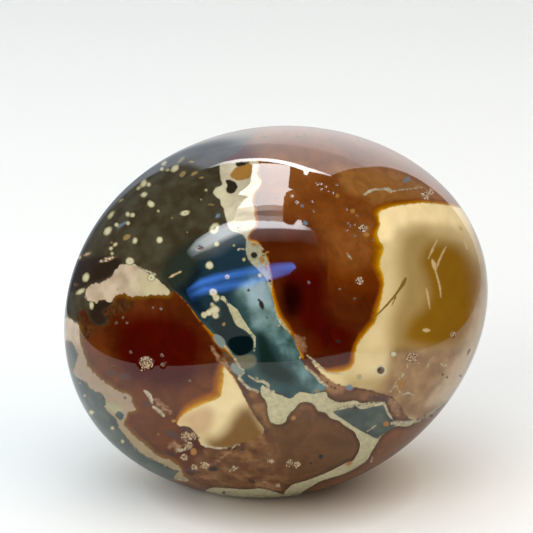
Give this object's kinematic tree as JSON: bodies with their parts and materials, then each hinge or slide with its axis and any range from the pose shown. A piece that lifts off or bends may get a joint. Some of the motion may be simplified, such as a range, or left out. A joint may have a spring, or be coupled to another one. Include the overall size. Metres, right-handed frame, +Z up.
{
  "type": "palm stone",
  "caption": "Polished rounded pebble of patterned jasper that fills the palm and stands on a small flat spot.",
  "frame": {"origin": "under the middle of the stone's box, on the plane of its flat spot", "axes": "+X along the stone's length, +Y through its thickness from the pictured face to the back, +Z up"},
  "size_m": [0.0614, 0.044, 0.0535],
  "materials": {
    "polished_jasper": "tumbled and buffed stone with a wet-looking polish"
  },
  "bodies": {
    "root": {"palm_stone": "polished_jasper"}
  },
  "joints": []
}
